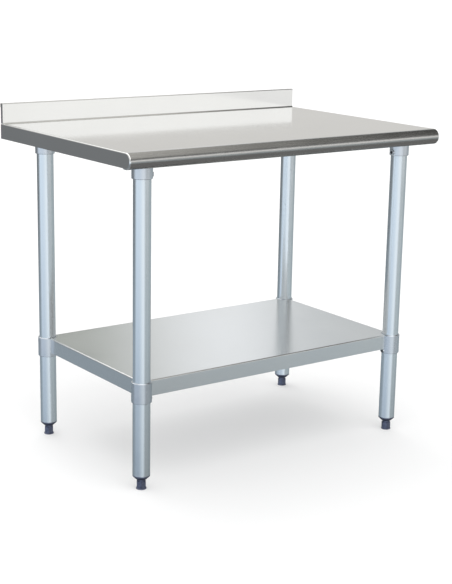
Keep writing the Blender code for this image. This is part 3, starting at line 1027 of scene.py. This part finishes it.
# --- Sleeve welds -----------------------------------------------------------------------------------
# Inside the pan, a fillet weld runs down each sleeve where a turned-down side meets it. It is thinner
# than the sockets' welds, so it doesn't show through the sheet.
SHELF_BEAD_RADIUS = 0.0014
pan_low, pan_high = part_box("undershelf_sheet")
for corner in CORNERS:
    low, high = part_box(f"shelf_sleeve_{corner}")
    x, y, _ = axis_of(f"leg_{corner}")
    out_x = math.copysign(1, x)
    out_y = math.copysign(1, y - (pan_low.y + pan_high.y) / 2)
    overhang = pan_high.x - abs(x) - SHEET
    reach = math.sqrt(((high.y - low.y) / 2) ** 2 - overhang ** 2)
    near = overhang - SHELF_BEAD_RADIUS * 0.5
    far = reach + SHELF_BEAD_RADIUS * 0.5
    lines = []
    for step_x, step_y in ((-far, near), (near, -far)):
        at = (x + out_x * step_x, y + out_y * step_y)
        lines.append(((*at, pan_low.z + 0.003), (*at, pan_high.z - SHEET - 0.001)))
    beads(f"sleeve_welds_{corner}", lines, SHELF_BEAD_RADIUS, "undershelf")


# --- Set screws -------------------------------------------------------------------------------------
# Short turned steel screws with a black-oxide finish and a hexagon key hole. One is driven into each
# socket boss and each sleeve boss, up to the leg.
SCREW_CHAMFER = 0.0005
KEY_OVERRUN = 0.001
SCREW_STEEL = galvanised("screw_oxide", (0.16, 0.16, 0.17), (0.08, 0.08, 0.09), 0.42, spangle=500.0)
KEY_RADIUS = 0.0016
KEY_DEPTH = 0.0028


def set_screw(name, node, body):
    low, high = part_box(node)
    inward = -math.copysign(1, low.x)
    middle = (low + high) / 2
    length = high.x - low.x
    tip = (low.x if inward > 0 else high.x, middle.y, middle.z)
    chamfer = SCREW_CHAMFER
    profile = [(0.0, 0.0), (SCREW_RADIUS - chamfer, 0.0), (SCREW_RADIUS, chamfer)]
    profile += [(SCREW_RADIUS, length - chamfer), (SCREW_RADIUS - chamfer, length), (0.0, length)]
    piece = lathe(name, profile, tip, steps=40, along=(inward, 0.0, 0.0))
    key = [(0.0, length - KEY_DEPTH), (KEY_RADIUS, length - KEY_DEPTH)]
    key += [(KEY_RADIUS, length + KEY_OVERRUN), (0.0, length + KEY_OVERRUN)]
    combine(piece, lathe("key", key, tip, steps=6, along=(inward, 0.0, 0.0)), "DIFFERENCE")
    finish_piece(piece, SCREW_STEEL, body, [node], sharp=30.0)


for corner in CORNERS:
    set_screw(f"set_screw_socket_{corner}", f"socket_screw_{corner}", "table_frame")
    set_screw(f"set_screw_sleeve_{corner}", f"sleeve_screw_{corner}", "undershelf")


# --- Leg inserts ------------------------------------------------------------------------------------
# Plated steel plugs pressed into the tubes' lower ends and bored for the stems of the feet. Below the
# tube, each has a rim that tapers to a flat mouth.
FOOT_PLATE = galvanised("foot_plating", (0.22, 0.24, 0.33), (0.13, 0.14, 0.20), 0.36, spangle=240.0)
STEM_BORE = 0.0063
INSERT_RIM = 0.003
INSERT_MOUTH = 0.0125
INSERT_ROUND = 0.0012
INSERT_CHAMFER = 0.0008
for corner in CORNERS:
    low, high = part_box(f"leg_insert_{corner}")
    plug = LEG_RADIUS - LEG_WALL - FIT
    rim_top = leg_low.z - FIT
    rim_bottom = rim_top - INSERT_RIM
    rounding = (LEG_RADIUS - INSERT_ROUND, rim_bottom + INSERT_ROUND)
    profile = [(plug - INSERT_CHAMFER, high.z), (plug, high.z - INSERT_CHAMFER), (plug, rim_top)]
    profile += [(LEG_RADIUS - 0.0005, rim_top), (LEG_RADIUS, rim_top - 0.0005)]
    profile += corner_arc(rounding, INSERT_ROUND, 0, -70)
    profile += [(INSERT_MOUTH + 0.0006, low.z + 0.0005), (INSERT_MOUTH, low.z)]
    profile += [(STEM_BORE + INSERT_CHAMFER, low.z), (STEM_BORE, low.z + INSERT_CHAMFER), (STEM_BORE, high.z)]
    piece = lathe(f"insert_{corner}", profile, axis_of(f"leg_{corner}"))
    finish_piece(piece, FOOT_PLATE, "table_frame", [f"leg_insert_{corner}"])


# --- Levelling feet ---------------------------------------------------------------------------------
# A flared base, a hexagon for the spanner and a collar, turned in one with a threaded stem. They are
# plated like the inserts, and their thread is a rolled ridge round the stem's core.
BASE_HEIGHT = 0.004
HEX_TOP = 0.020
OVERLAP = 0.0004
HEX_RADIUS = 0.0120
BASE_RADIUS = 0.0125
COLLAR_RADIUS = 0.0090
FOOT_TOP = 0.024
STEM_RADIUS = 0.0060
STEM_CORE = 0.0053
THREAD_PITCH = 0.00175


def thread_tree():
    """A stem with one helical ridge: a spiral swept with a three-sided section, joined to its core."""
    inputs = {
        "Bottom": "Vector",
        "Turns": "Float",
        "Length": "Float",
        "Core Radius": "Float",
        "Ridge Radius": "Float",
        "Finish": "Material",
    }
    tree, given = new_maker("threaded_stem", inputs)
    core = given["Core Radius"]
    climb = {"Resolution": 28, "Rotations": given["Turns"], "Height": given["Length"]}
    spiral = put(tree, "GeometryNodeCurveSpiral", {**climb, "Start Radius": core, "End Radius": core})
    ridge = swept(tree, spiral.outputs[0], 4, given["Ridge Radius"], **{"Fill Caps": True})
    placed = put(tree, "GeometryNodeTransform", {"Geometry": ridge, "Translation": given["Bottom"]})
    return close_maker(tree, placed.outputs[0], given["Finish"])


THREAD = thread_tree()


def foot_body(name, place, low_z, stem_top):
    """The turned foot: base, hexagon with turned corners, collar and the stem's core."""
    base_top = low_z + BASE_HEIGHT
    hex_top = low_z + HEX_TOP
    across = HEX_RADIUS * math.cos(math.pi / 6)
    top = low_z + FOOT_TOP
    base = [(0.0, low_z), (BASE_RADIUS - 0.0008, low_z), (BASE_RADIUS, low_z + 0.0008)]
    base += [(BASE_RADIUS - 0.0004, low_z + 0.0028), (across - 0.0002, base_top), (0.0, base_top)]
    piece = lathe(name, base, place)
    hexagon = [(0.0, base_top - OVERLAP), (HEX_RADIUS, base_top - OVERLAP)]
    hexagon += [(HEX_RADIUS, hex_top), (0.0, hex_top)]
    turned = [(0.0, low_z), (across, low_z), (HEX_RADIUS + 0.0001, low_z + 0.0050)]
    turned += [(HEX_RADIUS + 0.0001, hex_top - 0.0012), (across - 0.0004, hex_top), (0.0, hex_top + 0.001)]
    blank = combine(lathe("blank", hexagon, place, steps=6), lathe("turned", turned, place), "INTERSECT")
    collar = [(0.0, hex_top - OVERLAP), (COLLAR_RADIUS, hex_top - OVERLAP), (COLLAR_RADIUS, top - 0.0006)]
    collar += [(COLLAR_RADIUS - 0.0006, top), (STEM_CORE, top), (STEM_CORE, stem_top - 0.0012)]
    collar += [(STEM_CORE - 0.0012, stem_top), (0.0, stem_top)]
    combine(piece, blank, "UNION")
    return combine(piece, lathe("collar", collar, place), "UNION")


for corner in CORNERS:
    low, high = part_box(f"levelling_foot_{corner}")
    place = axis_of(f"levelling_foot_{corner}")
    ridge_bottom = low.z + FOOT_TOP + 0.0012
    ridge_length = high.z - ridge_bottom - 0.002
    settings = {
        "Bottom": Vector((place[0], place[1], ridge_bottom)),
        "Turns": ridge_length / THREAD_PITCH,
        "Length": ridge_length,
        "Core Radius": STEM_CORE,
        "Ridge Radius": STEM_RADIUS - STEM_CORE,
        "Finish": FOOT_PLATE,
    }
    ridge = run_tree(f"thread_{corner}", THREAD, settings)
    piece = joined(f"foot_{corner}", [foot_body(f"body_{corner}", place, low.z, high.z), ridge])
    finish_piece(piece, FOOT_PLATE, f"foot_{corner}", [f"levelling_foot_{corner}"], sharp=28.0)
